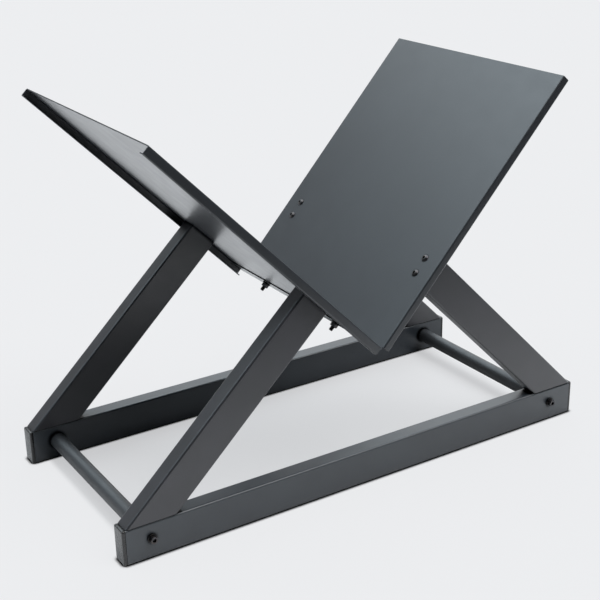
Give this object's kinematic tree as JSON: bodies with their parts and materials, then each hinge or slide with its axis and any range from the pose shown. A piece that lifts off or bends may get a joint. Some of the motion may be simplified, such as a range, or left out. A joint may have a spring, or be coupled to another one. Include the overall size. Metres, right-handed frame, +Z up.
{
  "type": "firewood rack",
  "caption": "Free-standing firewood rack: two folded steel panels form a V for logs, carried by sloping tube legs on two floor rails joined by round crossbars.",
  "frame": {"origin": "on the floor, under the middle of the rack's outer box", "axes": "+X along the floor rails to the right, +Y to the rear, +Z up"},
  "size_m": [0.75, 0.371, 0.53],
  "materials": {
    "rail_steel": "satin powder coat, anthracite",
    "leg_steel": "satin powder coat, anthracite",
    "panel_steel": "satin powder coat, anthracite",
    "bare_steel": "plain machined steel",
    "black_plastic": "moulded, slightly glossy",
    "black_fastener": "black oxide"
  },
  "bodies": {
    "root": {"front_rail": "rail_steel", "rear_rail": "rail_steel", "left_crossbar": "rail_steel", "right_crossbar": "rail_steel", "front_left_leg": "leg_steel", "rear_left_leg": "leg_steel", "front_right_leg": "leg_steel", "rear_right_leg": "leg_steel", "left_panel": "panel_steel", "right_panel": "panel_steel", "front_left_leg_plate": "bare_steel", "rear_left_leg_plate": "bare_steel", "front_right_leg_plate": "bare_steel", "rear_right_leg_plate": "bare_steel", "front_left_cap": "black_plastic", "front_right_cap": "black_plastic", "rear_left_cap": "black_plastic", "rear_right_cap": "black_plastic", "left_crossbar_inserts": "bare_steel", "right_crossbar_inserts": "bare_steel", "crossbar_screws": "black_fastener", "crossbar_washers": "black_fastener", "panel_screws": "black_fastener", "joint_bolts": "black_fastener", "joint_washers": "black_fastener", "joint_nuts": "black_fastener"}
  },
  "joints": []
}
